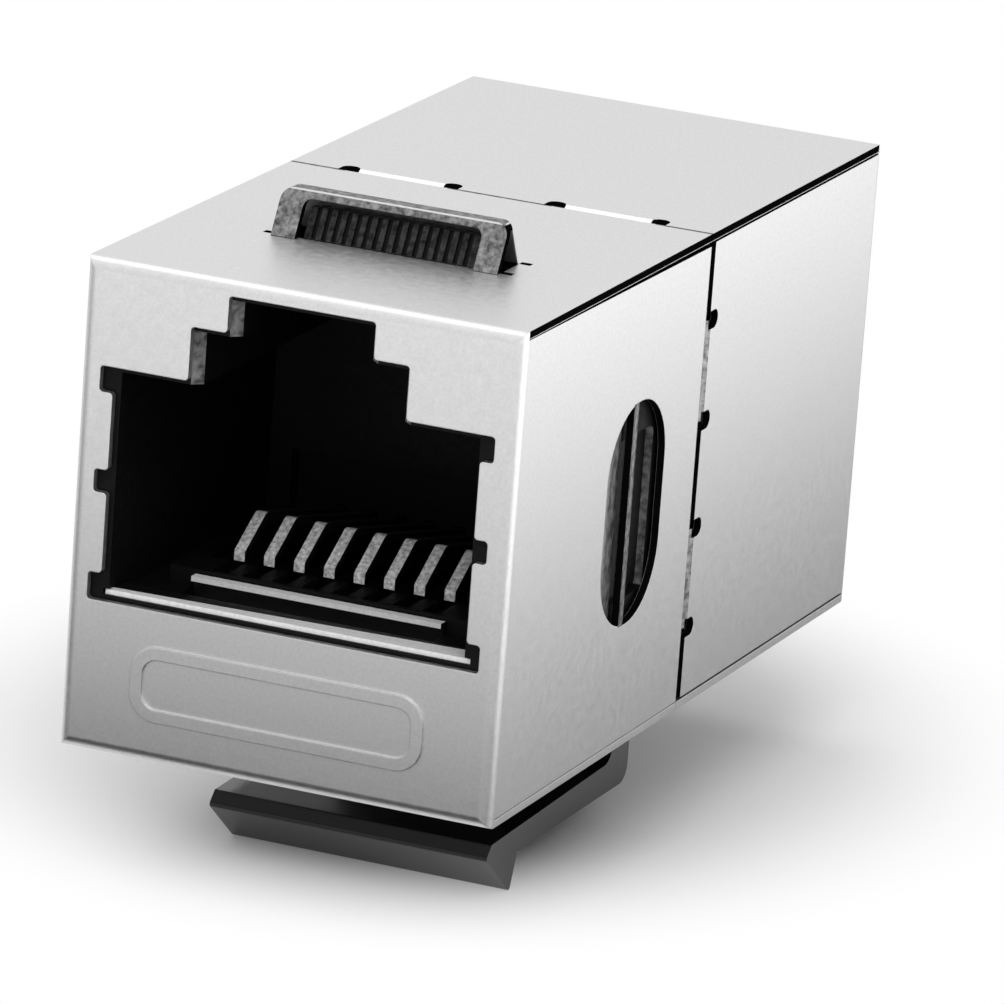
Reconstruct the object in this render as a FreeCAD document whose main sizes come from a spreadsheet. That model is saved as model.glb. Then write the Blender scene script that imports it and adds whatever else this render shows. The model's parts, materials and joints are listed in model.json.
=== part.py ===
import FreeCAD, Part
import math
import os
import Sketcher

# Shielded inline coupler: a sheet-metal box with a socket at each end, which snaps into a panel.
# Millimetres, +Z up. The origin is the centre of the shell's front face and +Y runs into the
# shell. The rear half is the front half turned half a turn about the vertical axis.

doc = FreeCAD.newDocument("InlineCoupler")

CONTACTS = 8
RIB_GROOVES = 16

DIMENSIONS = {
    # port cut-out in the front panel, and the rims of panel left around it
    "port_width": 12.2,
    "port_height": 7.415,
    "step_width": 7.24,
    "step_height": 1.705,
    "tab_width": 4.86,
    "tab_height": 1.16,
    "notch_reach": 0.45,
    "side_rim": 0.7,
    "top_rim": 0.45,
    "bottom_rim": 4.87,
    "top_notch_height": 0.825,
    "middle_notch_rise": 3.42,
    "middle_notch_height": 0.73,
    "bottom_notch_height": 0.88,
    "cut_radius": 0.12,
    # folded sheet of the shell
    "shell_length": 30.0,
    "sheet_thickness": 0.25,
    "bend_inner": 0.15,
    "edge_gap_front": 0.03,
    "edge_gap_seam": 0.16,
    "edge_gap_rear": 0.08,
    # rounded bead that frames the plain label field
    "label_width": 9.8,
    "label_height": 2.4,
    "label_rise": 2.55,
    "label_radius": 0.9,
    "bead_width": 0.4,
    "bead_height": 0.08,
    # lanced hook on top
    "hook_front": 5.9,
    "hook_width": 7.6,
    "hook_height": 1.45,
    "hook_lean": 0.75,
    "hook_crest": 0.5,
    "hook_length": 2.0,
    "hook_upright": 0.8,
    "hook_radius": 0.28,
    "slit_reach": 0.37,
    "slit_width": 0.28,
    # oval window in each side wall of the front half
    "window_width": 4.66,
    "window_height": 7.2,
    "window_to_seam": 5.0,
    "window_drop": 0.1,
    "window_radius": 2.28,
    "strap_width": 0.35,
    "strap_lead": 0.34,
    "flap_gap": 0.18,
    "flap_sink": 0.3,
    # seam between the two halves of the shell
    "seam_gap": 0.04,
    "side_gap": 0.38,
    "seam_drop": 0.14,
    "top_tongue_start": 1.78,
    "top_tongue_end": 5.33,
    "side_tongue_start": 1.76,
    "side_tongue_end": 5.05,
    "joggle_length": 0.47,
    "tongue_gap": 0.02,
    "relief_radius": 0.3,
    "relief_reach": 0.35,
    # plastic housing of one socket
    "housing_gap": 0.1,
    "seat_gap": 0.05,
    "port_reveal": 0.15,
    "step_reveal": 0.27,
    "top_reveal": 0.185,
    "floor_rise": 0.13,
    "catch_depth": 1.5,
    "back_wall": 2.3,
    "lead_in": 0.3,
    "mould_radius": 0.3,
    # ribbed boss inside the hook, and the shallow recess behind the side windows
    "boss_setback": 0.35,
    "boss_width": 5.7,
    "boss_height": 0.9,
    "boss_gap": 0.1,
    "rib_pitch": 0.34,
    "rib_groove": 0.16,
    "rib_depth": 0.12,
    "recess_back": 2.1,
    "recess_top": 2.35,
    "recess_bottom": 2.95,
    # grounding strip on the floor of the port
    "strip_thickness": 0.16,
    "rail_front": 0.4,
    "rail_depth": 0.95,
    "rail_width": 12.2,
    "crest_width": 8.4,
    "crest_front": 2.5,
    "crest_back": 2.9,
    "crest_rise": 0.4,
    "dip_depth": 0.5,
    # contacts and their carrier
    "contact_pitch": 1.016,
    "contact_width": 0.36,
    "contact_thickness": 0.28,
    "contact_bend": 0.3,
    "tip_reach": 1.5,
    "nose_slope": 0.625,
    "knee_depth": 6.1,
    "knee_rise": 1.6,
    "arm_rise": 0.2,
    "row_spacing": 1.6,
    "contact_play": 0.02,
    "tail_proud": 0.35,
    "slot_width": 0.56,
    "slot_depth": 1.4,
    "carrier_wall": 1.3,
    "carrier_depth": 3.5,
    "tray_drop": 0.2,
    "bar_rise": 0.5,
    "bar_depth": 1.5,
    "bar_lip": 0.2,
    "root_depth": 2.0,
    "root_rise": 2.3,
    "solder_relief": 0.5,
    # circuit board between the two carriers
    "board_thickness": 1.2,
    "board_gap": 0.2,
    "board_margin": 0.2,
    "hole_radius": 0.3,
    # moulded latch under the shell
    "latch_width": 9.5,
    "nose_front": 6.2,
    "nose_drop": 3.1,
    "nose_bevel": 0.4,
    "tooth_depth": 2.1,
    "tooth_drop": 4.7,
    "tooth_back": 0.46,
    "arm_top_drop": 2.5,
    "arm_bottom_drop": 3.5,
    "root_front": 1.3,
    "root_thickness": 1.4,
    "foot_thickness": 0.55,
    "foot_length": 2.8,
    "latch_radius": 0.6,
    "ridge_radius": 0.12,
    "latch_slot_margin": 0.15,
    "latch_slot_length": 3.3,
}

sheet = doc.addObject("Spreadsheet::Sheet", "Sizes")
for row, (alias, number) in enumerate(DIMENSIONS.items(), start=1):
    sheet.set(f"A{row}", alias)
    sheet.set(f"B{row}", str(number))
    sheet.setAlias(f"B{row}", alias)
doc.recompute()


class Length:
    """A size: the expression that binds it to the sheet, and the number that it gives."""

    def __init__(self, text, value):
        self.text = text
        self.value = value

    def joined(self, sign, other, value):
        return Length(f"({self.text} {sign} {other.text})", value)

    def __add__(self, other):
        other = as_length(other)
        return self.joined("+", other, self.value + other.value)

    def __sub__(self, other):
        other = as_length(other)
        return self.joined("-", other, self.value - other.value)

    def __mul__(self, other):
        other = as_length(other)
        return self.joined("*", other, self.value * other.value)

    def __truediv__(self, other):
        other = as_length(other)
        return self.joined("/", other, self.value / other.value)

    def __neg__(self):
        return as_length(0) - self


def as_length(size):
    return size if isinstance(size, Length) else Length(repr(size), size)


def root_of(size):
    return Length(f"sqrt({size.text})", math.sqrt(size.value))


class Sizes:
    """The sheet's cells, each as a Length under its own name."""


size = Sizes()
for alias in DIMENSIONS:
    setattr(size, alias, Length(f"Sizes.{alias}", float(sheet.get(alias))))


# Features: every outline is drawn on an origin plane of its own body, moved along that plane's
# axis to start, and runs from there towards the positive end of the axis.


def rectangle(left, right, low, high):
    return [(left, low), (right, low), (right, high), (left, high)]


def mirrored_outline(right_side):
    """Closed outline from the points of its right side, listed from the bottom up."""
    left_side = [(-across, up) for across, up in reversed(right_side)]
    return right_side + left_side


def hold_point(sketch, geometry, place, across, up):
    """Pins one point of the sketch to its two sizes."""
    for kind, distance, axis in (("DistanceX", across, -2), ("DistanceY", up, -1)):
        distance = as_length(distance)
        if abs(distance.value) < 1e-7:
            sketch.addConstraint(Sketcher.Constraint("PointOnObject", geometry, place, axis))
            continue
        rule = Sketcher.Constraint(kind, -1, 1, geometry, place, distance.value)
        index = sketch.addConstraint(rule)
        sketch.setExpression(f"Constraints[{index}]", distance.text)


def draw_outline(sketch, outline):
    corners = [(as_length(across), as_length(up)) for across, up in outline]
    points = [FreeCAD.Vector(across.value, up.value, 0) for across, up in corners]
    first = sketch.GeometryCount
    count = len(points)
    for index, start in enumerate(points):
        sketch.addGeometry(Part.LineSegment(start, points[(index + 1) % count]), False)
    for index in range(count):
        after = first + (index + 1) % count
        sketch.addConstraint(Sketcher.Constraint("Coincident", first + index, 2, after, 1))
    for index, (across, up) in enumerate(corners):
        hold_point(sketch, first + index, 1, across, up)


def draw_circle(sketch, circle):
    across, up, radius = [as_length(entry) for entry in circle]
    centre = FreeCAD.Vector(across.value, up.value, 0)
    upright = FreeCAD.Vector(0, 0, 1)
    index = sketch.addGeometry(Part.Circle(centre, upright, radius.value), False)
    hold_point(sketch, index, 3, across, up)
    rule = sketch.addConstraint(Sketcher.Constraint("Radius", index, radius.value))
    sketch.setExpression(f"Constraints[{rule}]", radius.text)


def sketch_on(body, name, role, start, outlines=(), circles=()):
    sketch = body.newObject("Sketcher::SketchObject", f"{name}_outline")
    plane = [entry for entry in body.Origin.OriginFeatures if entry.Role == role][0]
    sketch.AttachmentSupport = [(plane, "")]
    sketch.MapMode = "FlatFace"
    start = as_length(start)
    away = -start if role == "XZ_Plane" else start
    sketch.setExpression("AttachmentOffset.Base.z", away.text)
    for outline in outlines:
        draw_outline(sketch, outline)
    for circle in circles:
        draw_circle(sketch, circle)
    return sketch


def feature_on(kind, body, name, role, start, length, outlines, circles, backwards):
    before = body.Shape.Volume if body.Tip else 0.0
    sketch = sketch_on(body, name, role, start, outlines, circles)
    feature = body.newObject(kind, name)
    feature.Profile = sketch
    feature.setExpression("Length", as_length(length).text)
    feature.Reversed = backwards
    doc.recompute()
    if abs(body.Shape.Volume - before) < 1e-6:
        raise RuntimeError(f"{name} changes nothing")
    return feature


def add(body, name, role, start, length, outlines=(), circles=()):
    backwards = role == "XZ_Plane"
    return feature_on("PartDesign::Pad", body, name, role, start, length, outlines, circles, backwards)


def cut(body, name, role, start, length, outlines=(), circles=()):
    backwards = role != "XZ_Plane"
    return feature_on("PartDesign::Pocket", body, name, role, start, length, outlines, circles, backwards)


def dress(kind, body, name, amount, size_property, wanted):
    """Rounds or bevels the edges of the body for which wanted gives true."""
    base = body.Tip
    names = [f"Edge{index}" for index, edge in enumerate(base.Shape.Edges, start=1) if wanted(edge)]
    if not names:
        raise RuntimeError(f"{name} finds no edge")
    feature = body.newObject(kind, name)
    feature.Base = (base, names)
    feature.setExpression(size_property, as_length(amount).text)
    doc.recompute()
    return feature


def round_edges(body, name, radius, wanted):
    return dress("PartDesign::Fillet", body, name, radius, "Radius", wanted)


def bevel_edges(body, name, amount, wanted):
    return dress("PartDesign::Chamfer", body, name, amount, "Size", wanted)


def close(number, length):
    return abs(number - as_length(length).value) < 1e-4


def runs_along(edge, axis):
    """True for a straight edge along axis 0, 1 or 2."""
    if edge.Curve.TypeId != "Part::GeomLine":
        return False
    return abs(abs(edge.Curve.Direction[axis]) - 1) < 1e-6


def middle(edge):
    return edge.valueAt((edge.FirstParameter + edge.LastParameter) / 2)


def passes(edge, points, axis=0):
    """True for an edge along the axis through one of the points, given by its other two places."""
    if not runs_along(edge, axis):
        return False
    centre = middle(edge)
    others = [centre[index] for index in range(3) if index != axis]
    return any(close(others[0], first) and close(others[1], second) for first, second in points)


def new_body(name):
    body = doc.addObject("PartDesign::Body", name)
    body.Label = name
    return body


def turn_to_rear(part):
    """Half a turn about the vertical axis that stands in the middle of the shell."""
    part.Placement.Rotation = FreeCAD.Rotation(FreeCAD.Vector(0, 0, 1), 180)
    part.setExpression("Placement.Base.y", size.shell_length.text)


# Places that several pieces share

gauge = size.sheet_thickness
half_width = size.port_width / 2 + size.notch_reach + size.side_rim
half_height = (size.bottom_rim + size.port_height + size.step_height + size.tab_height + size.top_rim) / 2
inner_half_width = half_width - gauge
inner_half_height = half_height - gauge
seam = size.shell_length / 2

port_bottom = size.bottom_rim - half_height
port_top = port_bottom + size.port_height
step_top = port_top + size.step_height
tab_top = step_top + size.tab_height
port_half_width = size.port_width / 2
step_half_width = size.step_width / 2
tab_half_width = size.tab_width / 2

board_front = seam - size.board_thickness / 2
housing_front = gauge + size.seat_gap
housing_back = board_front - size.board_gap
housing_half_width = inner_half_width - size.housing_gap
housing_half_height = inner_half_height - size.housing_gap
cavity_back = housing_back - size.back_wall
cavity_half_width = port_half_width - size.port_reveal
port_floor = port_bottom + size.floor_rise

hook_half_width = size.hook_width / 2
hook_top = half_height + size.hook_height
hook_fall = size.hook_height / (size.hook_length - size.hook_lean - size.hook_crest)
hook_stretch = root_of(hook_fall * hook_fall + 1)
hook_tilt = size.hook_lean / size.hook_height
tilt_stretch = root_of(hook_tilt * hook_tilt + 1)
window_middle = seam - size.window_to_seam
strap_front = window_middle - size.strap_lead - size.strap_width / 2
flap_front = window_middle - size.window_width / 2 - gauge

carrier_front = size.crest_back + size.seat_gap
carrier_half_width = size.contact_pitch * ((CONTACTS - 1) / 2) + size.slot_width / 2 + size.carrier_wall
carrier_bottom = port_floor - size.carrier_depth
tray_top = port_floor - size.tray_drop
root_front = board_front - size.root_depth
knee_height = port_floor + size.knee_rise
upper_row = port_floor + size.arm_rise
lower_row = upper_row - size.row_spacing
tail_end = seam + size.board_thickness / 2 + size.tail_proud

foot_bottom = size.seat_gap + gauge - half_height
foot_top = foot_bottom + size.foot_thickness
latch_root_front = seam + size.root_front
latch_root_back = latch_root_front + size.root_thickness
latch_foot_end = latch_root_back + size.foot_length
latch_half_width = size.latch_width / 2


def contact_place(number):
    """Distance of contact 1 to 8 from the middle of the port."""
    return size.contact_pitch * (number - (CONTACTS + 1) / 2)


# Shell

def port_outline():
    """Stepped cut-out of the panel, with three notches down each side."""
    notch = port_half_width + size.notch_reach
    middle_low = port_bottom + size.middle_notch_rise
    middle_high = middle_low + size.middle_notch_height
    bottom_high = port_bottom + size.bottom_notch_height
    top_low = port_top - size.top_notch_height
    return mirrored_outline([
        (notch, port_bottom),
        (notch, bottom_high),
        (port_half_width, bottom_high),
        (port_half_width, middle_low),
        (notch, middle_low),
        (notch, middle_high),
        (port_half_width, middle_high),
        (port_half_width, top_low),
        (notch, top_low),
        (notch, port_top),
        (step_half_width, port_top),
        (step_half_width, step_top),
        (tab_half_width, step_top),
        (tab_half_width, tab_top),
    ])


def folded_box(name, length, gap_at_fold, gap_at_end):
    """Panel with four flaps folded back from it, and open joints along the four long edges."""
    body = new_body(name)
    add(body, f"{name}_block", "XZ_Plane", 0, length,
        [rectangle(-half_width, half_width, -half_height, half_height)])
    round_edges(body, f"{name}_folds", size.bend_inner + gauge,
                lambda edge: close(middle(edge).y, 0))
    cut(body, f"{name}_hollow", "XZ_Plane", gauge, length - gauge,
        [rectangle(-inner_half_width, inner_half_width, -inner_half_height, inner_half_height)])
    round_edges(body, f"{name}_inner_folds", size.bend_inner,
                lambda edge: close(middle(edge).y, gauge) and not runs_along(edge, 1))
    cut(body, f"{name}_port", "XZ_Plane", 0, gauge, [port_outline()])
    round_edges(body, f"{name}_port_corners", size.cut_radius,
                lambda edge: runs_along(edge, 1) and close(edge.Length, gauge))
    fold_end = size.bend_inner + gauge
    low_gap = inner_half_height - gap_at_fold
    high_gap = inner_half_height - gap_at_end
    upper = [(fold_end, low_gap), (length, high_gap), (length, inner_half_height),
             (fold_end, inner_half_height)]
    lower = rectangle(fold_end, length, -inner_half_height, gap_at_fold - inner_half_height)
    cut(body, f"{name}_edge_joints", "YZ_Plane", -half_width, half_width * 2, [upper, lower])
    return body


def add_label_bead(body):
    """Raised bead round a plain field under the port, pressed out of the panel."""
    centre = size.label_rise - half_height
    half_length = size.label_width / 2
    half_rise = size.label_height / 2
    rings = []
    for inset in (as_length(0), size.bead_width):
        rings.append(rectangle(inset - half_length, half_length - inset,
                               centre - half_rise + inset, centre + half_rise - inset))
    add(body, "label_bead", "XZ_Plane", -size.bead_height, size.bead_height + gauge / 2, rings)
    outer_ring = [(side * half_length.value, (centre + half_rise * up).value)
                  for side in (-1, 1) for up in (-1, 1)]
    round_edges(body, "label_bead_corners", size.label_radius,
                lambda edge: passes(edge, outer_ring, axis=1))
    inner_ring = [(side * (half_length - size.bead_width).value,
                   (centre + (half_rise - size.bead_width) * up).value)
                  for side in (-1, 1) for up in (-1, 1)]
    round_edges(body, "label_field_corners", size.label_radius - size.bead_width,
                lambda edge: passes(edge, inner_ring, axis=1))


def slope_point(height, inset):
    """Place along Y at which the hook's slope, moved inwards by inset, has the given height."""
    run = (size.hook_height - hook_stretch * inset - height) / hook_fall
    return size.hook_front + size.hook_lean + size.hook_crest + run


def front_point(height, inset):
    """Place along Y at which the hook's leaning front, moved inwards by inset, has the given height."""
    return size.hook_front + hook_tilt * height + tilt_stretch * inset


def add_hook(body):
    """Bridge lanced out of the top flap, with a mouth in its front, which catches behind the panel."""
    front = size.hook_front
    back = front + size.hook_length
    crest_start = front + size.hook_lean
    crest_end = crest_start + size.hook_crest
    outside = [(front, inner_half_height), (back, inner_half_height), (back, half_height),
               (crest_end, hook_top), (crest_start, hook_top), (front, half_height)]
    add(body, "hook", "YZ_Plane", -hook_half_width, size.hook_width, [outside])
    round_edges(body, "hook_shoulders", size.hook_radius + gauge / 2,
                lambda edge: close(abs(middle(edge).x), hook_half_width)
                and middle(edge).z > half_height.value + gauge.value
                and middle(edge).y > crest_start.value)
    inside = [
        (front_point(-gauge, gauge), inner_half_height),
        (slope_point(-gauge, gauge), inner_half_height),
        (slope_point(size.hook_height - gauge, gauge), hook_top - gauge),
        (front_point(size.hook_height - gauge, gauge), hook_top - gauge),
    ]
    cut(body, "hook_hollow", "YZ_Plane", -hook_half_width, size.hook_width, [inside])
    mouth_half_width = hook_half_width - size.hook_upright
    mouth_depth = front_point(size.hook_height - gauge / 2, gauge) - front
    cut(body, "hook_mouth", "XZ_Plane", front, mouth_depth,
        [rectangle(-mouth_half_width, mouth_half_width, half_height, hook_top - gauge)])
    corners = [(side * mouth_half_width.value, (hook_top - gauge).value) for side in (-1, 1)]
    round_edges(body, "hook_mouth_corners", size.hook_radius,
                lambda edge: passes(edge, corners, axis=1))
    slits = []
    for near in (front + gauge, back - size.slit_width):
        for left in (-hook_half_width - size.slit_reach, hook_half_width):
            slits.append(rectangle(left, left + size.slit_reach, near, near + size.slit_width))
    cut(body, "hook_slits", "XY_Plane", inner_half_height, gauge, slits)


def window_tool():
    """Upright block with rounded ends that runs right through the shell from side to side."""
    body = new_body("window_tool")
    add(body, "window_block", "YZ_Plane", -half_width, half_width * 2,
        [rectangle(window_middle - size.window_width / 2, window_middle + size.window_width / 2,
                   -size.window_height / 2 - size.window_drop,
                   size.window_height / 2 - size.window_drop)])
    round_edges(body, "window_ends", size.window_radius, lambda edge: runs_along(edge, 0))
    return body


def window_fillings():
    """Strap that crosses each window, and the flap pressed inwards in front of it."""
    body = new_body("window_sheet")
    strap_back = strap_front + size.strap_width
    flap_back = strap_front - size.flap_gap
    shapes = []
    for side in (1, -1):
        outer = half_width * side
        inner = inner_half_width * side
        sink = size.flap_sink * side
        shapes.append([(outer, strap_front), (outer, strap_back), (inner, strap_back),
                       (inner, strap_front)])
        shapes.append([(outer, flap_front), (outer - sink, flap_back), (inner - sink, flap_back),
                       (inner, flap_front)])
    add(body, "window_sheet_plan", "XY_Plane", -half_height, half_height * 2, shapes)
    return body


def front_shield():
    body = folded_box("front_shield_sheet", seam, size.edge_gap_front, size.edge_gap_seam)
    add_label_bead(body)
    add_hook(body)
    tool = window_tool()
    opened = doc.addObject("Part::Cut", "front_shield_windows")
    opened.Base = body
    opened.Tool = tool
    fillings = doc.addObject("Part::Common", "window_fillings")
    fillings.Base = window_fillings()
    fillings.Tool = tool
    shield = doc.addObject("Part::Fuse", "front_shield")
    shield.Base = opened
    shield.Tool = fillings
    shield.Label = "front_shield"
    doc.recompute()
    return shield


def tongue_outline(level):
    """Joggle and tongue at the seam: along Y, then inwards from the face at level."""
    shallow = size.tongue_gap + gauge
    reach = seam - housing_back - size.housing_gap
    start = seam - size.joggle_length
    return [
        (start, level),
        (seam, level - shallow),
        (seam + reach, level - shallow),
        (seam + reach, level - shallow - gauge),
        (seam, level - shallow - gauge),
        (start - gauge / 4, level - gauge),
        (start - gauge, level - gauge),
        (start - gauge, level),
    ]


def rear_shield():
    end = seam - size.seam_gap
    body = folded_box("rear_shield", end, size.edge_gap_rear, size.edge_gap_rear)
    drop = size.seam_drop
    gap_start = seam - size.side_gap
    joggle_start = seam - size.joggle_length
    side_zones = [(size.side_tongue_start - drop, size.side_tongue_end - drop),
                  (-size.side_tongue_end - drop, -size.side_tongue_start - drop)]
    top_zones = [(size.top_tongue_start, size.top_tongue_end),
                 (-size.top_tongue_end, -size.top_tongue_start)]
    cut(body, "side_seam_gap", "YZ_Plane", -half_width, half_width * 2,
        [rectangle(gap_start, end, -inner_half_height, inner_half_height)])
    cut(body, "side_joggle_space", "YZ_Plane", -half_width, half_width * 2,
        [rectangle(joggle_start, gap_start, low, high) for low, high in side_zones])
    cut(body, "top_joggle_space", "XY_Plane", inner_half_height, gauge,
        [rectangle(left, right, joggle_start, end) for left, right in top_zones])
    for number, (low, high) in enumerate(side_zones, start=1):
        for hand, side in (("left", -1), ("right", 1)):
            plan = [(across * side, along) for along, across in tongue_outline(half_width)]
            add(body, f"{hand}_tongue_{number}", "XY_Plane", low, high - low, [plan])
    for number, (left, right) in enumerate(top_zones, start=1):
        add(body, f"top_tongue_{number}", "YZ_Plane", left, right - left, [tongue_outline(half_height)])
    radius = size.relief_radius
    side_root = gap_start - size.relief_reach
    side_edges = [edge for zone in side_zones for edge in zone]
    cut(body, "side_reliefs", "YZ_Plane", -half_width, half_width * 2,
        [rectangle(side_root, gap_start, edge - radius, edge + radius) for edge in side_edges])
    cut(body, "side_relief_ends", "YZ_Plane", -half_width, half_width * 2,
        circles=[(side_root, edge, radius) for edge in side_edges])
    top_root = end - size.relief_reach
    top_edges = [edge for zone in top_zones for edge in zone]
    relief_depth = gauge * 2 + size.tongue_gap
    cut(body, "top_reliefs", "XY_Plane", half_height - relief_depth, relief_depth,
        [rectangle(edge - radius, edge + radius, top_root, end) for edge in top_edges])
    cut(body, "top_relief_ends", "XY_Plane", half_height - relief_depth, relief_depth,
        circles=[(edge, top_root, radius) for edge in top_edges])
    slot_half_width = latch_half_width + size.latch_slot_margin
    cut(body, "latch_slot", "XY_Plane", -half_height, gauge,
        [rectangle(-slot_half_width, slot_half_width, seam - size.latch_slot_length, end)])
    turn_to_rear(body)
    return body


# Housings

def cavity_outline():
    """Stepped opening of the socket, a little inside the panel's cut-out."""
    step = step_half_width - size.step_reveal
    tab = tab_half_width - size.step_reveal
    return mirrored_outline([
        (cavity_half_width, port_floor),
        (cavity_half_width, port_top - size.top_reveal),
        (step, port_top - size.top_reveal),
        (step, step_top - size.top_reveal),
        (tab, step_top - size.top_reveal),
        (tab, tab_top - size.top_reveal),
    ])


def housing(name):
    """Moulded block with the stepped socket, the catch space and the seat of the carrier."""
    body = new_body(name)
    add(body, f"{name}_block", "XZ_Plane", housing_front, housing_back - housing_front,
        [rectangle(-housing_half_width, housing_half_width, -housing_half_height, housing_half_height)])
    round_edges(body, f"{name}_corners", size.mould_radius,
                lambda edge: runs_along(edge, 1))
    cut(body, f"{name}_cavity", "XZ_Plane", housing_front, cavity_back - housing_front,
        [cavity_outline()])
    step = step_half_width - size.step_reveal
    tab = tab_half_width - size.step_reveal
    bevel_edges(body, f"{name}_lead_in", size.lead_in,
                lambda edge: runs_along(edge, 2) and close(middle(edge).y, housing_front)
                and (close(abs(middle(edge).x), step) or close(abs(middle(edge).x), tab)))
    catch_front = housing_front + size.catch_depth
    cut(body, f"{name}_catch", "XZ_Plane", catch_front, cavity_back - catch_front,
        [rectangle(-step, step, port_top, tab_top - size.top_reveal)])
    seat = size.seat_gap
    seat_half_width = carrier_half_width + seat
    cut(body, f"{name}_carrier_seat", "XZ_Plane", carrier_front - seat, housing_back - carrier_front + seat,
        [rectangle(-seat_half_width, seat_half_width, carrier_bottom - seat,
                   tray_top + size.root_rise + seat)])
    rail_half_width = size.rail_width / 2 + seat
    rail_back = size.rail_front + size.rail_depth
    cut(body, f"{name}_rail_seat", "XZ_Plane", housing_front, rail_back + seat - housing_front,
        [rectangle(-rail_half_width, rail_half_width, port_floor,
                   port_floor + size.strip_thickness + seat)])
    crest_half_width = size.crest_width / 2 + seat
    dip_front = rail_back - size.strip_thickness - seat
    cut(body, f"{name}_strip_groove", "XY_Plane", port_floor - size.dip_depth - seat,
        size.dip_depth + seat,
        [rectangle(-crest_half_width, crest_half_width, dip_front, carrier_front - seat)])
    return body


def front_housing():
    """Adds the ribbed boss that stands in the hook and the recesses behind the windows."""
    body = housing("front_housing")
    setback = size.boss_setback
    half_boss = size.boss_width / 2
    inset = gauge + size.boss_gap
    below = -gauge - size.housing_gap
    profile = [
        (front_point(below, setback), housing_half_height),
        (slope_point(below, inset), housing_half_height),
        (slope_point(size.boss_height, inset), half_height + size.boss_height),
        (front_point(size.boss_height, setback), half_height + size.boss_height),
    ]
    add(body, "hook_boss", "YZ_Plane", -half_boss, size.boss_width, [profile])
    groove = [
        (front_point(0, setback), half_height),
        (front_point(0, setback) + size.rib_depth, half_height),
        (front_point(size.boss_height, setback) + size.rib_depth, half_height + size.boss_height),
        (front_point(size.boss_height, setback), half_height + size.boss_height),
    ]
    for number in range(RIB_GROOVES):
        centre = size.rib_pitch * (number - (RIB_GROOVES - 1) / 2)
        cut(body, f"boss_groove_{number}", "YZ_Plane", centre - size.rib_groove / 2, size.rib_groove,
            [groove])
    recess_depth = size.flap_sink - size.housing_gap + size.seat_gap
    recess_back = window_middle + size.recess_back
    low = -size.window_drop - size.recess_bottom
    high = size.recess_top - size.window_drop
    flap_low = -size.window_drop - size.window_height / 2
    flap_high = size.window_height / 2 - size.window_drop
    recess = [
        (flap_front, flap_low),
        (strap_front, flap_low),
        (strap_front, low),
        (recess_back, low),
        (recess_back, high),
        (strap_front, high),
        (strap_front, flap_high),
        (flap_front, flap_high),
    ]
    for hand, start in (("right", housing_half_width - recess_depth), ("left", -housing_half_width)):
        cut(body, f"{hand}_window_recess", "YZ_Plane", start, recess_depth, [recess])
    corners = [(recess_back, low), (recess_back, high)]
    round_edges(body, "window_recess_corners", size.mould_radius,
                lambda edge: passes(edge, corners))
    return body


def rear_housing():
    """Adds the recess in the underside that takes the foot of the latch."""
    body = housing("rear_housing")
    half_recess = latch_half_width + size.housing_gap
    near = size.shell_length - latch_foot_end - size.housing_gap
    far = size.shell_length - latch_root_front + size.housing_gap
    depth = foot_top + size.seat_gap + housing_half_height
    cut(body, "foot_recess", "XY_Plane", -housing_half_height, depth,
        [rectangle(-half_recess, half_recess, near, far)])
    turn_to_rear(body)
    return body


# Parts of the socket

def contact_carrier(name):
    """Insert with a slotted tray for the contact tips and an upright block for their roots."""
    body = new_body(name)
    wide = (-carrier_half_width, carrier_half_width)
    add(body, f"{name}_tray", "XZ_Plane", carrier_front, board_front - carrier_front,
        [rectangle(*wide, carrier_bottom, tray_top)])
    bar_top = port_floor + size.bar_rise
    add(body, f"{name}_bar", "XZ_Plane", carrier_front, size.bar_depth,
        [rectangle(*wide, tray_top - size.tray_drop, bar_top)])
    add(body, f"{name}_root", "XZ_Plane", root_front, size.root_depth,
        [rectangle(*wide, tray_top - size.tray_drop, tray_top + size.root_rise)])
    tip_slots = []
    root_slots = []
    snug = size.contact_width / 2 + size.contact_play
    low = lower_row - size.contact_thickness / 2 - size.contact_play
    high = upper_row + size.contact_thickness
    for number in range(1, CONTACTS + 1):
        centre = contact_place(number)
        tip_slots.append(rectangle(centre - size.slot_width / 2, centre + size.slot_width / 2,
                                   carrier_front + size.bar_lip, root_front))
        root_slots.append(rectangle(centre - snug, centre + snug, low, high))
    cut(body, f"{name}_tip_slots", "XY_Plane", tray_top - size.slot_depth,
        size.slot_depth + size.tray_drop + size.bar_rise, tip_slots)
    cut(body, f"{name}_root_slots", "XZ_Plane", root_front, size.root_depth, root_slots)
    relief_half_width = contact_place(CONTACTS) + size.contact_width
    cut(body, f"{name}_solder_relief", "XZ_Plane", board_front - size.solder_relief, size.solder_relief,
        [rectangle(-relief_half_width, relief_half_width, low - size.contact_width,
                   high + size.contact_width)])
    return body


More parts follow.
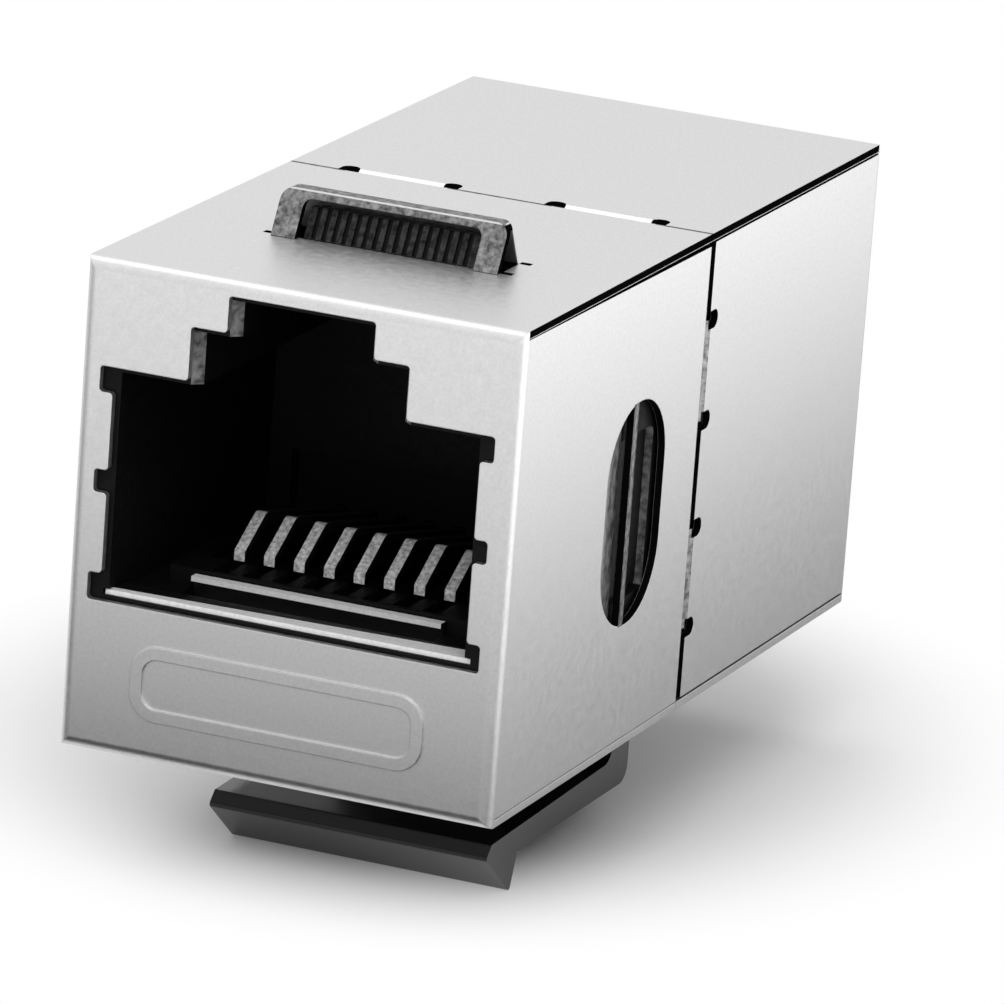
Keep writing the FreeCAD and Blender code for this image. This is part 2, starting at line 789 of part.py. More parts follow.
def contact_outline(low_tail):
    """Side view of one contact, and the corners of its bends, outer ones apart from inner ones."""
    half = size.contact_thickness / 2
    knee = size.knee_depth
    nose = size.nose_slope
    arm_end = root_front + size.contact_thickness
    fall = (upper_row - knee_height) / (arm_end - knee)
    nose_half = half * root_of(nose * nose + 1)
    arm_half = half * root_of(fall * fall + 1)
    shift = (arm_half - nose_half) / (nose - fall)
    ease = (half - arm_half) / fall
    tip = knee - size.tip_reach
    tip_height = knee_height - nose * size.tip_reach
    knee_top = (knee + shift, knee_height + nose * shift + nose_half)
    knee_under = (knee - shift, knee_height - nose * shift - nose_half)
    root_top = (arm_end + ease, upper_row + half)
    root_under = (arm_end - ease, upper_row - half)
    upper = [(tip, tip_height + nose_half), knee_top, root_top]
    lower = [root_under, knee_under, (tip, tip_height - nose_half)]
    if low_tail:
        leg = board_front - size.solder_relief - half * 2
        leg_top = (leg + half, upper_row + half)
        leg_foot = (leg - half, lower_row - half)
        leg_bend = (leg + half, lower_row + half)
        leg_under = (leg - half, upper_row - half)
        upper += [leg_top, leg_bend, (tail_end, lower_row + half), (tail_end, lower_row - half)]
        lower = [leg_foot, leg_under] + lower
        return upper + lower, [knee_top, root_under, leg_top, leg_foot], [knee_under, root_top]
    upper += [(tail_end, upper_row + half), (tail_end, upper_row - half)]
    return upper + lower, [knee_top, root_under], [knee_under, root_top]


def contact(name, number):
    """Flat spring contact; odd ones leave through the upper row of holes, even ones the lower."""
    body = new_body(name)
    outline, outer_bends, inner_bends = contact_outline(low_tail=number % 2 == 0)
    start = contact_place(number) - size.contact_width / 2
    add(body, f"{name}_strip", "YZ_Plane", start, size.contact_width, [outline])
    round_edges(body, f"{name}_outer_bends", size.contact_bend / 2 + size.contact_thickness / 2,
                lambda edge: passes(edge, outer_bends))
    round_edges(body, f"{name}_inner_bends", size.contact_bend / 2,
                lambda edge: passes(edge, inner_bends))
    return body


def ground_strip(name):
    """Flat rail across the mouth of the port, with a hooked spring tongue behind it."""
    body = new_body(name)
    thick = size.strip_thickness
    rail_back = size.rail_front + size.rail_depth
    half_rail = size.rail_width / 2
    add(body, f"{name}_rail", "YZ_Plane", -half_rail, size.rail_width,
        [rectangle(size.rail_front, rail_back, port_floor, port_floor + thick)])
    crest_top = port_floor + size.crest_rise
    dip_bottom = port_floor - size.dip_depth
    hooked = [
        (rail_back - thick, port_floor + thick),
        (rail_back - thick, dip_bottom),
        (size.crest_back, dip_bottom),
        (size.crest_back, crest_top),
        (size.crest_front, crest_top),
        (size.crest_front, crest_top - thick),
        (size.crest_back - thick, crest_top - thick),
        (size.crest_back - thick, dip_bottom + thick),
        (rail_back, dip_bottom + thick),
        (rail_back, port_floor + thick),
    ]
    half_crest = size.crest_width / 2
    add(body, f"{name}_hook", "YZ_Plane", -half_crest, size.crest_width, [hooked])
    outer = [(rail_back - thick, dip_bottom), (size.crest_back, dip_bottom),
             (size.crest_back, crest_top)]
    round_edges(body, f"{name}_bends", thick / 2, lambda edge: passes(edge, outer))
    return body


def circuit_board():
    """Board that stands across the middle, with one hole for each contact of either port."""
    body = new_body("circuit_board")
    half_across = half_width - gauge * 3 - size.board_margin
    half_up = half_height - gauge * 3 - size.board_margin
    add(body, "board_plate", "XZ_Plane", board_front, size.board_thickness,
        [rectangle(-half_across, half_across, -half_up, half_up)])
    holes = []
    for number in range(1, CONTACTS + 1):
        for height in (upper_row, lower_row):
            holes.append((contact_place(number), height, size.hole_radius))
    cut(body, "board_holes", "XZ_Plane", board_front, size.board_thickness, circles=holes)
    return body


# Latch

def keystone_latch():
    """Spring arm under the shell: bevelled nose and tooth in front, root and foot at the rear."""
    body = new_body("keystone_latch")
    nose = size.nose_front
    tooth = nose + size.tooth_depth
    arm_bottom = -half_height - size.arm_bottom_drop
    arm_top = -half_height - size.arm_top_drop
    ridge = (nose, -half_height - size.nose_drop)
    nose_top = (nose + size.nose_bevel, -half_height - size.nose_drop + size.nose_bevel)
    root_inner = (latch_root_front, arm_top)
    root_corner = (latch_root_back, arm_bottom)
    tooth_tip = (tooth, -half_height - size.tooth_drop)
    profile = [
        ridge,
        nose_top,
        root_inner,
        (latch_root_front, foot_top),
        (latch_foot_end, foot_top),
        (latch_foot_end, foot_bottom),
        (latch_root_back, foot_bottom),
        root_corner,
        (tooth + size.tooth_back, arm_bottom),
        tooth_tip,
    ]
    add(body, "latch_profile", "YZ_Plane", -latch_half_width, size.latch_width, [profile])
    round_edges(body, "latch_root_corners", size.latch_radius,
                lambda edge: passes(edge, [root_inner, root_corner]))
    round_edges(body, "latch_ridges", size.ridge_radius,
                lambda edge: passes(edge, [ridge, nose_top, tooth_tip]))
    return body


pieces = [
    front_shield(),
    rear_shield(),
    front_housing(),
    rear_housing(),
    circuit_board(),
    keystone_latch(),
]
for end in ("front", "rear"):
    socket_parts = [contact_carrier(f"{end}_contact_carrier"), ground_strip(f"{end}_ground_strip")]
    for number in range(1, CONTACTS + 1):
        socket_parts.append(contact(f"{end}_contact_{number}", number))
    if end == "rear":
        for part in socket_parts:
            turn_to_rear(part)
    pieces += socket_parts

doc.recompute()

for part in doc.Objects:
    if "Invalid" in part.State or "Error" in part.State:
        raise RuntimeError(f"{part.Name} failed: {part.State}")

os.makedirs("parts", exist_ok=True)
for piece in pieces:
    shape = piece.Shape
    if shape.isNull() or not shape.isValid() or len(shape.Solids) != 1:
        raise RuntimeError(f"{piece.Label} isn't one valid solid")
    shape.exportStep(f"parts/{piece.Label}.step")
print(f"{len(pieces)} pieces written")
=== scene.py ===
import json
import math

import bpy
from mathutils import Matrix, Vector


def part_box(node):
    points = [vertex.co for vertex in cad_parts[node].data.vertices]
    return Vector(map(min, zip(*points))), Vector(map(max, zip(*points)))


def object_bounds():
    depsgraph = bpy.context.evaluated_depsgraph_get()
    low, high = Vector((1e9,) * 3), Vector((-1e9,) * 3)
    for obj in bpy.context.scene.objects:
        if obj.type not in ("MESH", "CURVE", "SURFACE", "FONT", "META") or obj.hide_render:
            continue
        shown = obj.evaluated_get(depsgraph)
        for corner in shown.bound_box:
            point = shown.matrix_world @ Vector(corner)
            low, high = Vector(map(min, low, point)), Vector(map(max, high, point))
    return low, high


# A shielded inline coupler: nickel-plated steel shell, black mouldings, bright spring contacts.
# Lengths are metres; the pattern scales in the materials are worked out in millimetres.

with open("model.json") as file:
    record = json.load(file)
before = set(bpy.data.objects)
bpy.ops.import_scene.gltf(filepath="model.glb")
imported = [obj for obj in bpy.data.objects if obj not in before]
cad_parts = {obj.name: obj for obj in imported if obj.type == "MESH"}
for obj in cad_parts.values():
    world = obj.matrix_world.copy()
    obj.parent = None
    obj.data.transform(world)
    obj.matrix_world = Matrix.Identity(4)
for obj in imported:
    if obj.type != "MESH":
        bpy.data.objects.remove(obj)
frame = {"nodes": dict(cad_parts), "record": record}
cad_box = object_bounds()
nodes = frame["nodes"]

MM = 0.001
MM_PER_METRE = 1000.0


def linear(hex_colour):
    """Linear colour of an sRGB hex value."""
    channels = [int(hex_colour[place:place + 2], 16) / 255 for place in (0, 2, 4)]
    return [c / 12.92 if c <= 0.04045 else ((c + 0.055) / 1.055) ** 2.4 for c in channels] + [1.0]


def add_node(tree, kind, settings=None, inputs=None):
    """Adds a node with its settings. An input takes a value, or the output that feeds it."""
    made = tree.nodes.new(kind)
    for name, value in (settings or {}).items():
        setattr(made, name, value)
    for name, value in (inputs or {}).items():
        if isinstance(value, bpy.types.NodeSocket):
            tree.links.new(value, made.inputs[name])
        else:
            made.inputs[name].default_value = value
    return made


def calculate(tree, operation, *values):
    """Result of a maths node. Each value is a number, or the output that feeds it."""
    return add_node(tree, "ShaderNodeMath", {"operation": operation}, dict(enumerate(values))).outputs[0]


def calculate_vector(tree, operation, *vectors):
    """The same for places and directions."""
    return add_node(tree, "ShaderNodeVectorMath", {"operation": operation},
                    dict(enumerate(vectors))).outputs["Vector"]


def new_material(name):
    """Material with an empty tree; returns it with the tree and its Principled shader."""
    material = bpy.data.materials.new(name)
    material.use_nodes = True
    tree = material.node_tree
    tree.nodes.clear()
    shader = add_node(tree, "ShaderNodeBsdfPrincipled")
    add_node(tree, "ShaderNodeOutputMaterial", inputs={"Surface": shader.outputs["BSDF"]})
    return material, tree, shader


def millimetre_place(tree):
    """Place on the object in millimetres, the same in every pose and from every side."""
    place = add_node(tree, "ShaderNodeTexCoord")
    return add_node(tree, "ShaderNodeMapping", inputs={
        "Vector": place.outputs["Object"], "Scale": (MM_PER_METRE,) * 3}).outputs["Vector"]


def speckle(tree, place, grain_mm, low, high):
    """Value that wanders between low and high in grains of about the given size."""
    noise = add_node(tree, "ShaderNodeTexNoise", inputs={
        "Vector": place, "Scale": 1 / grain_mm, "Detail": 2.0, "Roughness": 0.6})
    return add_node(tree, "ShaderNodeMapRange", inputs={
        "Value": noise.outputs["Fac"], "From Min": 0.3, "From Max": 0.7,
        "To Min": low, "To Max": high}).outputs["Result"]


def tinted(tree, colour, factor):
    """Colour multiplied by a factor that a pattern gives."""
    return add_node(tree, "ShaderNodeVectorMath", {"operation": "SCALE"}, {
        0: colour[:3], "Scale": factor}).outputs["Vector"]


def grain_bump(tree, place, grain_mm, depth_mm, edge_mm=0.0):
    """Fine grain in the surface, and sharp edges rounded by edge_mm where it is given."""
    noise = add_node(tree, "ShaderNodeTexNoise", inputs={
        "Vector": place, "Scale": 1 / grain_mm, "Detail": 3.0})
    inputs = {"Height": noise.outputs["Fac"], "Distance": depth_mm * MM}
    if edge_mm:
        inputs["Normal"] = add_node(tree, "ShaderNodeBevel", {"samples": 4}, {
            "Radius": edge_mm * MM}).outputs["Normal"]
    return add_node(tree, "ShaderNodeBump", inputs=inputs).outputs["Normal"]


def coordinates(tree, place):
    """Three axes of a place or direction, and the same three without their signs."""
    signed = add_node(tree, "ShaderNodeSeparateXYZ", inputs={"Vector": place}).outputs
    bare = calculate_vector(tree, "ABSOLUTE", place)
    return signed, add_node(tree, "ShaderNodeSeparateXYZ", inputs={"Vector": bare}).outputs


def from_seam(tree, place):
    """Coordinates counted along Y from the seam in the middle of the shell, signed and bare."""
    return coordinates(tree, calculate_vector(tree, "SUBTRACT", place, (0, half_length, 0)))


def facing_axes(tree):
    """How squarely the surface faces along each axis, either way: 1 is square on, 0 is edge on."""
    return coordinates(tree, add_node(tree, "ShaderNodeTexCoord").outputs["Normal"])[1]


def zone(tree, bands):
    """1 where every value lies inside its own band of (value, low, high), 0 elsewhere.

    A value without its sign is never under 0, so a band of it that starts at -1 has no lower end.
    """
    inside = 1.0
    for value, low, high in bands:
        band = calculate(tree, "COMPARE", value, (low + high) / 2, (high - low) / 2)
        inside = calculate(tree, "MULTIPLY", inside, band)
    return inside


def any_zone(tree, zones):
    """1 where at least one of the zones is 1."""
    found = 0.0
    for area in zones:
        found = calculate(tree, "MAXIMUM", found, area)
    return found


def blend(tree, factor, first, second):
    """First colour where the factor is 0 and second colour where it is 1."""
    return add_node(tree, "ShaderNodeMix", {"data_type": "RGBA"}, {
        0: factor, 6: first, 7: second}).outputs[2]


# Bands of facing, for faces square on to an axis, edge on to it, or slanted as the name says

SQUARE_ON = (0.6, 1.1)
EDGE_ON = (0, 0.5)
JOGGLE_SLANT = (0.25, 0.9)
LEAD_IN_SLANT = (0.6, 0.8)
RECESS_SLANT = (0.3, 1.1)

# Shell, in millimetres: X and Z count from its axis, Y from the seam in its middle

shell_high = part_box("rear_shield")[1]
half_width = shell_high.x * MM_PER_METRE
half_height = shell_high.z * MM_PER_METRE
shell_length = shell_high.y * MM_PER_METRE
half_length = shell_length / 2
SHEET = 0.25
FOLD = 0.4
SKIN = 0.02
SEAM_WEAR = 0.08
JOGGLE = 0.6
TONGUE_START = 1.78
TONGUE_END = 5.33
WINDOW_BOTTOM = -3.7
WINDOW_TOP = 3.5
STRAP = (5.1, 5.55)
STRAP_RIDGE = (5.25, 5.4)
FLAP = (5.4, 8.0)
FLAP_SINK = 0.14
FLAP_DEPTH = 0.5
FLAP_HALF_HEIGHT = 4.2

# Hook on top, and the ribbed boss in its mouth: Y counts from the front face

hook_top = cad_box[1][2] * MM_PER_METRE
HOOK_FRONT = 5.9
HOOK_LEAN = 0.517
HOOK_FACE_END = 6.8
HOOK_CREST_BAND = 0.05
RIB_FACE = 0.394
RIB_REACH = 0.06

# Inside of the ports: depths count from the port's face, only the recess counts from the seam

KNEE = 6.3
LEAD_IN = 0.62
STEP_SIDES = (2.0, 3.75)
STEP_HEIGHTS = (3.9, 7.3)
RECESS = (2.6, 3.0)
RECESS_SIDES = (6.5, 7.0)
RECESS_HALF_HEIGHT = 3.4
strip_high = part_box("front_ground_strip")[1]
STRIP_CREST = strip_high.z * MM_PER_METRE
STRIP_FLOOR = STRIP_CREST - 0.4
STRIP_HALF_WIDTH = strip_high.x * MM_PER_METRE
STRIP_LIP = 0.17
RAIL_TOP = STRIP_CREST - 0.1
RAIL_FRONT = 0.5
RAIL_BRIGHT_DEPTH = 0.95
RAIL_BRIGHT_SLANT = 0.045


def nickel_plated_steel():
    """Strip steel, nickel plated before stamping: satin, finely grained, with painted shade as near
    black on its sheared edges and as a darker tone on the hook's crest.
    """
    material, tree, shader = new_material("satin_nickel_plated_steel")
    place = millimetre_place(tree)
    at, away = from_seam(tree, place)
    facing = facing_axes(tree)
    past_fold = (away["Y"], -1, half_length - FOLD)
    top_gauge = (at["Z"], half_height - SHEET + SKIN, half_height + SKIN)
    side_gauge = (away["X"], half_width - SHEET + SKIN, half_width + SKIN)
    below_top = (away["Z"], -1, half_height - SHEET - SKIN)
    # The sheet's cut edges lie between its outer and inner faces, and across the hook's open ends; they
    # are bare steel coloured near black and without shine, which is painted shade.
    sheared_and_shaded = any_zone(tree, (
        zone(tree, (past_fold, top_gauge, (facing["Z"], *EDGE_ON))),
        zone(tree, (past_fold, side_gauge, below_top, (facing["X"], *EDGE_ON))),
        zone(tree, ((at["Z"], half_height + SKIN, hook_top), (facing["X"], *SQUARE_ON))),
    ))
    hook_front = zone(tree, ((at["Z"], half_height + SKIN, hook_top - HOOK_CREST_BAND),
                             (at["Y"], -half_length, HOOK_FACE_END - half_length)))
    side_joggle = zone(tree, ((away["Y"], -1, JOGGLE), (facing["Y"], *JOGGLE_SLANT),
                              (away["X"], half_width - JOGGLE, half_width + SKIN)))
    hook_crest = zone(tree, ((at["Z"], hook_top - HOOK_CREST_BAND, hook_top + SKIN),
                             (facing["Z"], *SQUARE_ON)))
    strap = zone(tree, ((away["X"], half_width - SKIN, half_width + SKIN), (away["Y"], *STRAP),
                        (at["Z"], WINDOW_BOTTOM, WINDOW_TOP), (at["Y"], -half_length, 0)))
    strap_ridge = zone(tree, ((strap, 0.5, 1.5), (away["Y"], *STRAP_RIDGE)))
    seam_edge = any_zone(tree, [
        zone(tree, ((at["Z"], half_height - SKIN, half_height + SKIN), (away["Y"], -1, SEAM_WEAR),
                    (away["X"], low, high)))
        for low, high in ((-1, TONGUE_START), (TONGUE_END, half_width))])
    sunk = add_node(tree, "ShaderNodeMapRange", inputs={
        "Value": away["X"], "From Min": half_width - SKIN,
        "From Max": half_width - FLAP_SINK}).outputs["Result"]
    flap = zone(tree, ((away["X"], half_width - FLAP_DEPTH, half_width),
                       (away["Z"], -1, FLAP_HALF_HEIGHT), (away["Y"], *FLAP)))
    pressed = calculate(tree, "MULTIPLY", sunk, flap)
    plate = tinted(tree, linear("D3D3D3"), speckle(tree, place, 0.11, 0.95, 1.05))
    drawn = tinted(tree, linear("828282"), speckle(tree, place, 0.2, 0.35, 1.5))
    painted_shading = tinted(tree, linear("767676"), speckle(tree, place, 0.2, 0.2, 1.6))
    shaded = tinted(tree, linear("6C6C6C"), speckle(tree, place, 0.3, 0.15, 1.8))
    worn = tinted(tree, linear("707070"), speckle(tree, place, 0.3, 0.0, 2.0))
    plate = blend(tree, any_zone(tree, (hook_front, side_joggle)), plate, drawn)
    # The hook's crest gets a darker mottled grey: painted shade on its top face.
    plate = blend(tree, hook_crest, plate, painted_shading)
    plate = blend(tree, seam_edge, plate, worn)
    plate = blend(tree, any_zone(tree, (pressed, strap)), plate, shaded)
    plate = blend(tree, strap_ridge, plate, drawn)
    tree.links.new(blend(tree, sheared_and_shaded, plate, linear("0C0C0C")), shader.inputs["Base Color"])
    tree.links.new(calculate(tree, "SUBTRACT", 1.0, sheared_and_shaded), shader.inputs["Metallic"])
    shader.inputs["Specular IOR Level"].default_value = 0.0
    tree.links.new(speckle(tree, place, 0.3, 0.39, 0.46), shader.inputs["Roughness"])
    tree.links.new(grain_bump(tree, place, 0.12, 0.0012, edge_mm=0.045), shader.inputs["Normal"])
    return material


def bright_spring_strip():
    """Plated spring strip: near white on its crest, its front edge and the rail's front and top, and
    near black elsewhere as painted shade.
    """
    material, tree, shader = new_material("bright_plated_spring_strip")
    place = millimetre_place(tree)
    at, away = from_seam(tree, place)
    facing = facing_axes(tree)
    plug_side = calculate(tree, "MULTIPLY_ADD", at["X"], RAIL_BRIGHT_SLANT, away["Y"])
    rail = (at["Z"], STRIP_FLOOR - 2 * SKIN, RAIL_TOP)
    # Only these faces stay near white; every other face of the strip is near black, which is painted
    # shade.
    painted_shading = any_zone(tree, (
        zone(tree, ((at["Z"], STRIP_CREST - STRIP_LIP, STRIP_CREST + SKIN),
                    (facing["Y"], *SQUARE_ON))),
        zone(tree, ((at["Z"], STRIP_CREST - 2 * SKIN, STRIP_CREST + 2 * SKIN),
                    (facing["Z"], *SQUARE_ON))),
        zone(tree, (rail, (facing["Y"], *SQUARE_ON), (away["X"], -1, STRIP_HALF_WIDTH),
                    (away["Y"], half_length - RAIL_FRONT, half_length))),
        zone(tree, (rail, (facing["Z"], *SQUARE_ON),
                    (plug_side, half_length - RAIL_BRIGHT_DEPTH, half_length + 1))),
    ))
    bright = tinted(tree, linear("F8F8F8"), speckle(tree, place, 0.15, 0.9, 1.05))
    tree.links.new(blend(tree, painted_shading, linear("0C0C0C"), bright), shader.inputs["Base Color"])
    tree.links.new(calculate(tree, "MULTIPLY", painted_shading, 0.1), shader.inputs["Metallic"])
    tree.links.new(speckle(tree, place, 0.2, 0.3, 0.4), shader.inputs["Roughness"])
    return material


def plated_bronze_wire():
    """Flat bronze spring: matt tin on the front and top of the nose that the plug rubs, near black on
    its sides and the rest as painted shade.
    """
    material, tree, shader = new_material("tin_plated_bronze_contact")
    place = millimetre_place(tree)
    away = from_seam(tree, place)[1]
    facing = facing_axes(tree)
    # Only the nose's front and top are tin coloured; its sides and the arm beyond the knee are near
    # black, which is painted shade.
    nose = zone(tree, ((away["Y"], half_length - KNEE, half_length), (facing["X"], -1, SQUARE_ON[0])))
    tin = tinted(tree, linear("F2F2F2"), speckle(tree, place, 0.14, 0.4, 1.15))
    tree.links.new(blend(tree, nose, linear("080808"), tin), shader.inputs["Base Color"])
    tree.links.new(calculate(tree, "MULTIPLY", nose, 0.2), shader.inputs["Metallic"])
    tree.links.new(speckle(tree, place, 0.15, 0.45, 0.6), shader.inputs["Roughness"])
    tree.links.new(grain_bump(tree, place, 0.09, 0.004), shader.inputs["Normal"])
    return material


def black_polyester():
    """Glass-filled polyester moulding: near black and dull, with painted light in grey on the lead-in
    and recess, and grey rib faces with painted shade in the grooves.
    """
    material, tree, shader = new_material("black_moulded_polyester")
    place = millimetre_place(tree)
    at, away = from_seam(tree, place)
    facing = facing_axes(tree)
    # The lead-in chamfers and the recess's rear wall are coloured grey: painted light on faces that
    # catch it.
    painted_shading = any_zone(tree, (
        zone(tree, ((away["Y"], half_length - LEAD_IN, half_length), (away["X"], *STEP_SIDES),
                    (at["Z"], *STEP_HEIGHTS), (facing["X"], *LEAD_IN_SLANT))),
        zone(tree, ((away["Y"], *RECESS), (away["X"], *RECESS_SIDES),
                    (away["Z"], -1, RECESS_HALF_HEIGHT), (facing["Y"], *RECESS_SLANT))),
    ))
    # The ribs' front faces are grey while the grooves between them stay near black: painted shade in the
    # grooves.
    behind_hook_face = calculate(tree, "MULTIPLY_ADD", at["Z"], -HOOK_LEAN, at["Y"])
    rib_plane = HOOK_FRONT + RIB_FACE - half_length - HOOK_LEAN * half_height
    ribbed = zone(tree, ((at["Z"], half_height, hook_top),
                         (behind_hook_face, rib_plane - RIB_REACH, rib_plane + RIB_REACH)))
    black = tinted(tree, linear("070707"), speckle(tree, place, 0.25, 0.7, 1.3))
    grey = tinted(tree, linear("6A6A6A"), speckle(tree, place, 0.25, 0.3, 1.6))
    rib_face_grey = tinted(tree, linear("2A2A2A"), speckle(tree, place, 0.22, 0.0, 2.0))
    black = blend(tree, ribbed, black, rib_face_grey)
    tree.links.new(blend(tree, painted_shading, black, grey), shader.inputs["Base Color"])
    shader.inputs["Specular IOR Level"].default_value = 0.15
    tree.links.new(speckle(tree, place, 0.2, 0.5, 0.65), shader.inputs["Roughness"])
    tree.links.new(grain_bump(tree, place, 0.08, 0.004), shader.inputs["Normal"])
    return material


def polished_black_polycarbonate():
    """Latch moulding from a polished mould: deep black with clear reflections."""
    material, tree, shader = new_material("polished_black_polycarbonate")
    place = millimetre_place(tree)
    tree.links.new(tinted(tree, linear("0E0E0E"), speckle(tree, place, 0.3, 0.9, 1.1)),
                   shader.inputs["Base Color"])
    shader.inputs["IOR"].default_value = 1.42
    tree.links.new(speckle(tree, place, 0.5, 0.05, 0.12), shader.inputs["Roughness"])
    tree.links.new(grain_bump(tree, place, 0.6, 0.002), shader.inputs["Normal"])
    return material


def glass_epoxy_board():
    """Circuit board laminate: green solder mask over a woven glass cloth."""
    material, tree, shader = new_material("glass_epoxy_board")
    place = millimetre_place(tree)
    weave = add_node(tree, "ShaderNodeTexWave", {"bands_direction": "DIAGONAL"}, {
        "Vector": place, "Scale": 0.8, "Distortion": 0.5})
    factor = add_node(tree, "ShaderNodeMapRange", inputs={
        "Value": weave.outputs["Fac"], "To Min": 0.85, "To Max": 1.1}).outputs["Result"]
    tree.links.new(tinted(tree, linear("1F5A38"), factor), shader.inputs["Base Color"])
    tree.links.new(speckle(tree, place, 0.4, 0.25, 0.4), shader.inputs["Roughness"])
    return material


finishes = {
    "shield": nickel_plated_steel(),
    "spring_strip": bright_spring_strip(),
    "contact": plated_bronze_wire(),
    "housing": black_polyester(),
    "latch": polished_black_polycarbonate(),
    "board": glass_epoxy_board(),
}
for entry in frame["record"]["subparts"]:
    piece = nodes[entry["node"]]
    for slot in piece.material_slots:
        slot.material = finishes[entry["material_slot"]]


# Floor, world and lights: the shadow fades out in an oval on the floor, whose sizes are millimetres

FLOOR_NEAR = 12
FLOOR_FAR = 24
FLOOR_SHADE_CENTRE = (-3, half_length + 7.5, 0)
FLOOR_SHADE_STRETCH = (1.2, 1, 0)
floor_level = cad_box[0][2] - SKIN * MM
middle_of_shell = (0, half_length * MM, 0)


def seen_rays(tree):
    """1 for what the camera sees straight, in metal or through glass, 0 for the light on things."""
    rays = add_node(tree, "ShaderNodeLightPath").outputs
    seen = 0.0
    for kind in ("Is Camera Ray", "Is Glossy Ray", "Is Transmission Ray"):
        seen = calculate(tree, "MAXIMUM", seen, rays[kind])
    return seen


def white_floor(level):
    """Plain white floor: it keeps the shadow round the object and is full white further out."""
    half_side = 1.5
    mesh = bpy.data.meshes.new("studio_floor")
    corners = [(-half_side, -half_side, level), (half_side, -half_side, level),
               (half_side, half_side, level), (-half_side, half_side, level)]
    mesh.from_pydata(corners, [], [(0, 1, 2, 3)])
    floor = bpy.data.objects.new("studio_floor", mesh)
    bpy.context.scene.collection.objects.link(floor)
    material, tree, shader = new_material("white_paper_floor")
    place = millimetre_place(tree)
    tree.links.new(tinted(tree, linear("F6F6F6"), speckle(tree, place, 3.0, 0.99, 1.0)),
                   shader.inputs["Base Color"])
    shader.inputs["Roughness"].default_value = 0.9
    from_middle = calculate_vector(tree, "SUBTRACT", place, FLOOR_SHADE_CENTRE)
    rounded = calculate_vector(tree, "MULTIPLY", from_middle, FLOOR_SHADE_STRETCH)
    distance = add_node(tree, "ShaderNodeVectorMath", {"operation": "LENGTH"}, {
        0: rounded}).outputs["Value"]
    sheet_of_light = add_node(tree, "ShaderNodeMapRange", {"interpolation_type": "SMOOTHSTEP"}, {
        "Value": distance, "From Min": FLOOR_NEAR, "From Max": FLOOR_FAR,
        "To Min": 0.0, "To Max": 1.0}).outputs["Result"]
    share = calculate(tree, "MULTIPLY", seen_rays(tree), sheet_of_light)
    glow = add_node(tree, "ShaderNodeEmission", inputs={"Color": linear("FFFFFF"), "Strength": 1.0})
    mixed = add_node(tree, "ShaderNodeMixShader", inputs={
        0: share, 1: shader.outputs["BSDF"], 2: glow.outputs["Emission"]})
    tree.links.new(mixed.outputs["Shader"], tree.get_output_node("ALL").inputs["Surface"])
    floor.data.materials.append(material)


def soft_world(strength):
    """Even white surroundings, full white where the camera, metal or glass looks at them."""
    world = bpy.data.worlds.new("studio_surroundings")
    bpy.context.scene.world = world
    world.use_nodes = True
    tree = world.node_tree
    tree.nodes.clear()
    level = add_node(tree, "ShaderNodeMapRange", inputs={
        "Value": seen_rays(tree), "To Min": strength, "To Max": 1.0}).outputs["Result"]
    background = add_node(tree, "ShaderNodeBackground", inputs={
        "Color": linear("FFFFFF"), "Strength": level})
    add_node(tree, "ShaderNodeOutputWorld", inputs={"Surface": background.outputs["Background"]})


def softbox(name, place, target, width, height, power, mirrored=True):
    """Soft rectangular light; one that isn't mirrored lights things but doesn't show in metal."""
    light = bpy.data.lights.new(name, "AREA")
    light.shape = "RECTANGLE"
    light.size = width
    light.size_y = height
    light.energy = power
    lamp = bpy.data.objects.new(name, light)
    bpy.context.scene.collection.objects.link(lamp)
    lamp.visible_glossy = mirrored
    lamp.location = place
    lamp.rotation_euler = (Vector(target) - Vector(place)).to_track_quat("-Z", "Y").to_euler()


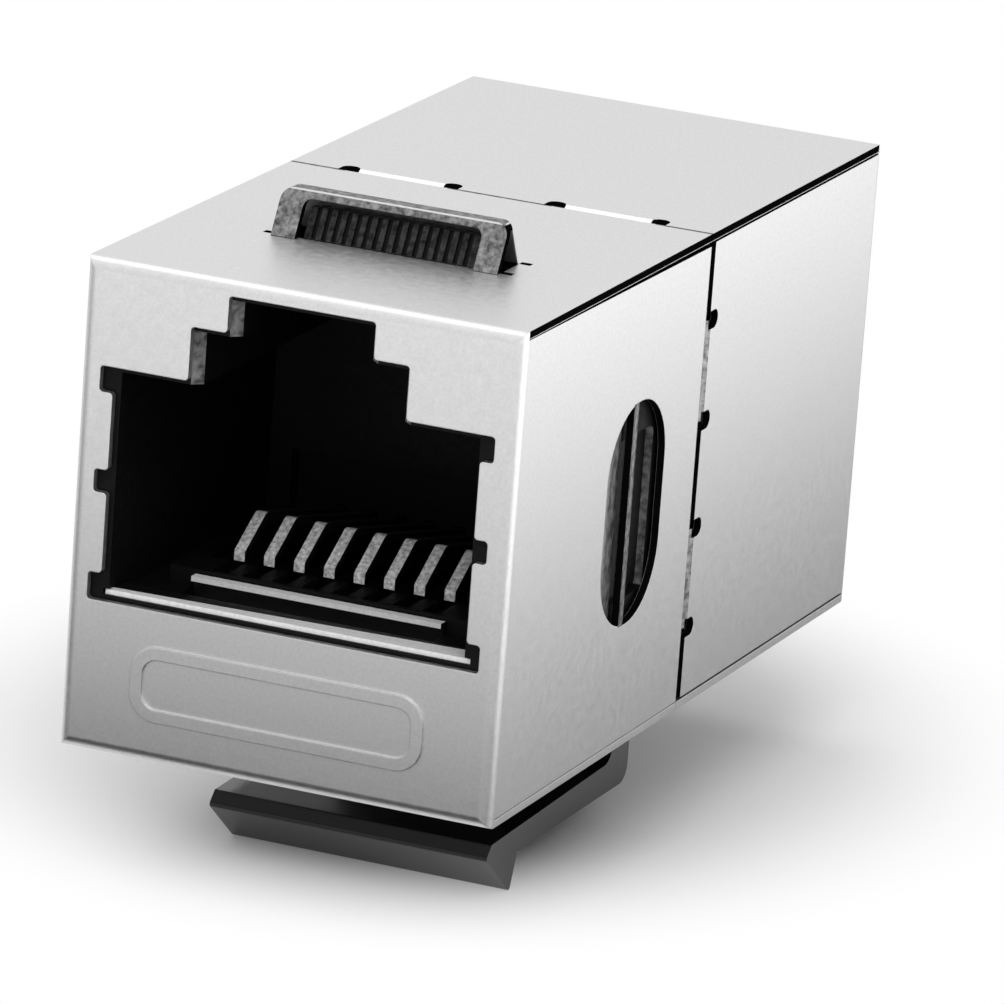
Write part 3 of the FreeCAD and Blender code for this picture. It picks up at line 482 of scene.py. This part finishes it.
def reflection_flag(name, centre, turn, width, depth, near_level, far_level):
    """Card just above the floor that only polished faces see: it grades them towards their foot."""
    mesh = bpy.data.meshes.new(name)
    corners = [(-width / 2, 0, 0), (width / 2, 0, 0), (width / 2, depth, 0), (-width / 2, depth, 0)]
    mesh.from_pydata([[c * MM for c in corner] for corner in corners], [], [(0, 1, 2, 3)])
    flag = bpy.data.objects.new(name, mesh)
    bpy.context.scene.collection.objects.link(flag)
    flag.location = (centre[0] * MM, centre[1] * MM, floor_level + 0.1 * MM)
    flag.rotation_euler = (0, 0, math.radians(turn))
    flag.visible_camera = False
    flag.visible_diffuse = False
    flag.visible_shadow = False
    material, tree, shader = new_material(name)
    at = coordinates(tree, millimetre_place(tree))[0]
    shader.inputs["Base Color"].default_value = linear("000000")
    shader.inputs["Specular IOR Level"].default_value = 0
    shader.inputs["Emission Color"].default_value = linear("FFFFFF")
    ramp_start, ramp_end = 0.1 * depth, 0.6 * depth
    level = add_node(tree, "ShaderNodeMapRange", inputs={
        "Value": at["Y"], "From Min": ramp_start, "From Max": ramp_end,
        "To Min": near_level, "To Max": far_level}).outputs["Result"]
    tree.links.new(level, shader.inputs["Emission Strength"])
    mesh.materials.append(material)


white_floor(floor_level)
soft_world(0.38)
reflection_flag("front_flag", centre=(0, -1), turn=180,
                width=200, depth=100, near_level=0.0, far_level=1.8)
reflection_flag("side_flag", centre=(half_width + 1, shell_length + 15), turn=-90,
                width=240, depth=120, near_level=0.3, far_level=3.5)
softbox("overhead_softbox", (-0.15, 0.1, 0.42), middle_of_shell, 0.25, 0.25, 0.3)
softbox("front_softbox", (0.13, -0.3, 0.42), middle_of_shell, 0.3, 0.3, 0.55)
softbox("shadow_softbox", (0.13, -0.3, 0.44), middle_of_shell, 0.6, 0.6, 1.4, mirrored=False)


# Camera at the photograph's angle, with its small tilt: angles are degrees

AZIMUTH = 22.045
ELEVATION = 15.893
ROLL = 4.239
DISTANCE = 290.57 * MM
AIM = Vector((0.95, 14.72, -1.98)) * MM
FOCAL_PIXELS = 9156.5
FRAME_PIXELS = 1004
SENSOR = 36.0


def add_camera():
    """Camera that stands, leans and zooms as the photographer's did."""
    turn = math.radians(AZIMUTH)
    rise = math.radians(ELEVATION)
    tilt = math.radians(ROLL)
    back = Vector((math.sin(turn) * math.cos(rise), -math.cos(turn) * math.cos(rise), math.sin(rise)))
    level_right = Vector((math.cos(turn), math.sin(turn), 0))
    level_up = back.cross(level_right)
    right = level_right * math.cos(tilt) + level_up * math.sin(tilt)
    up = back.cross(right)
    camera = bpy.data.objects.new("camera", bpy.data.cameras.new("camera"))
    bpy.context.scene.collection.objects.link(camera)
    camera.data.lens = FOCAL_PIXELS / FRAME_PIXELS * SENSOR
    camera.data.sensor_width = SENSOR
    camera.data.clip_start = 10 * MM
    place = AIM + back * DISTANCE
    camera.matrix_world = Matrix((right, up, back)).transposed().to_4x4()
    camera.location = place
    bpy.context.scene.camera = camera


add_camera()
bpy.context.scene.view_settings.view_transform = "Standard"
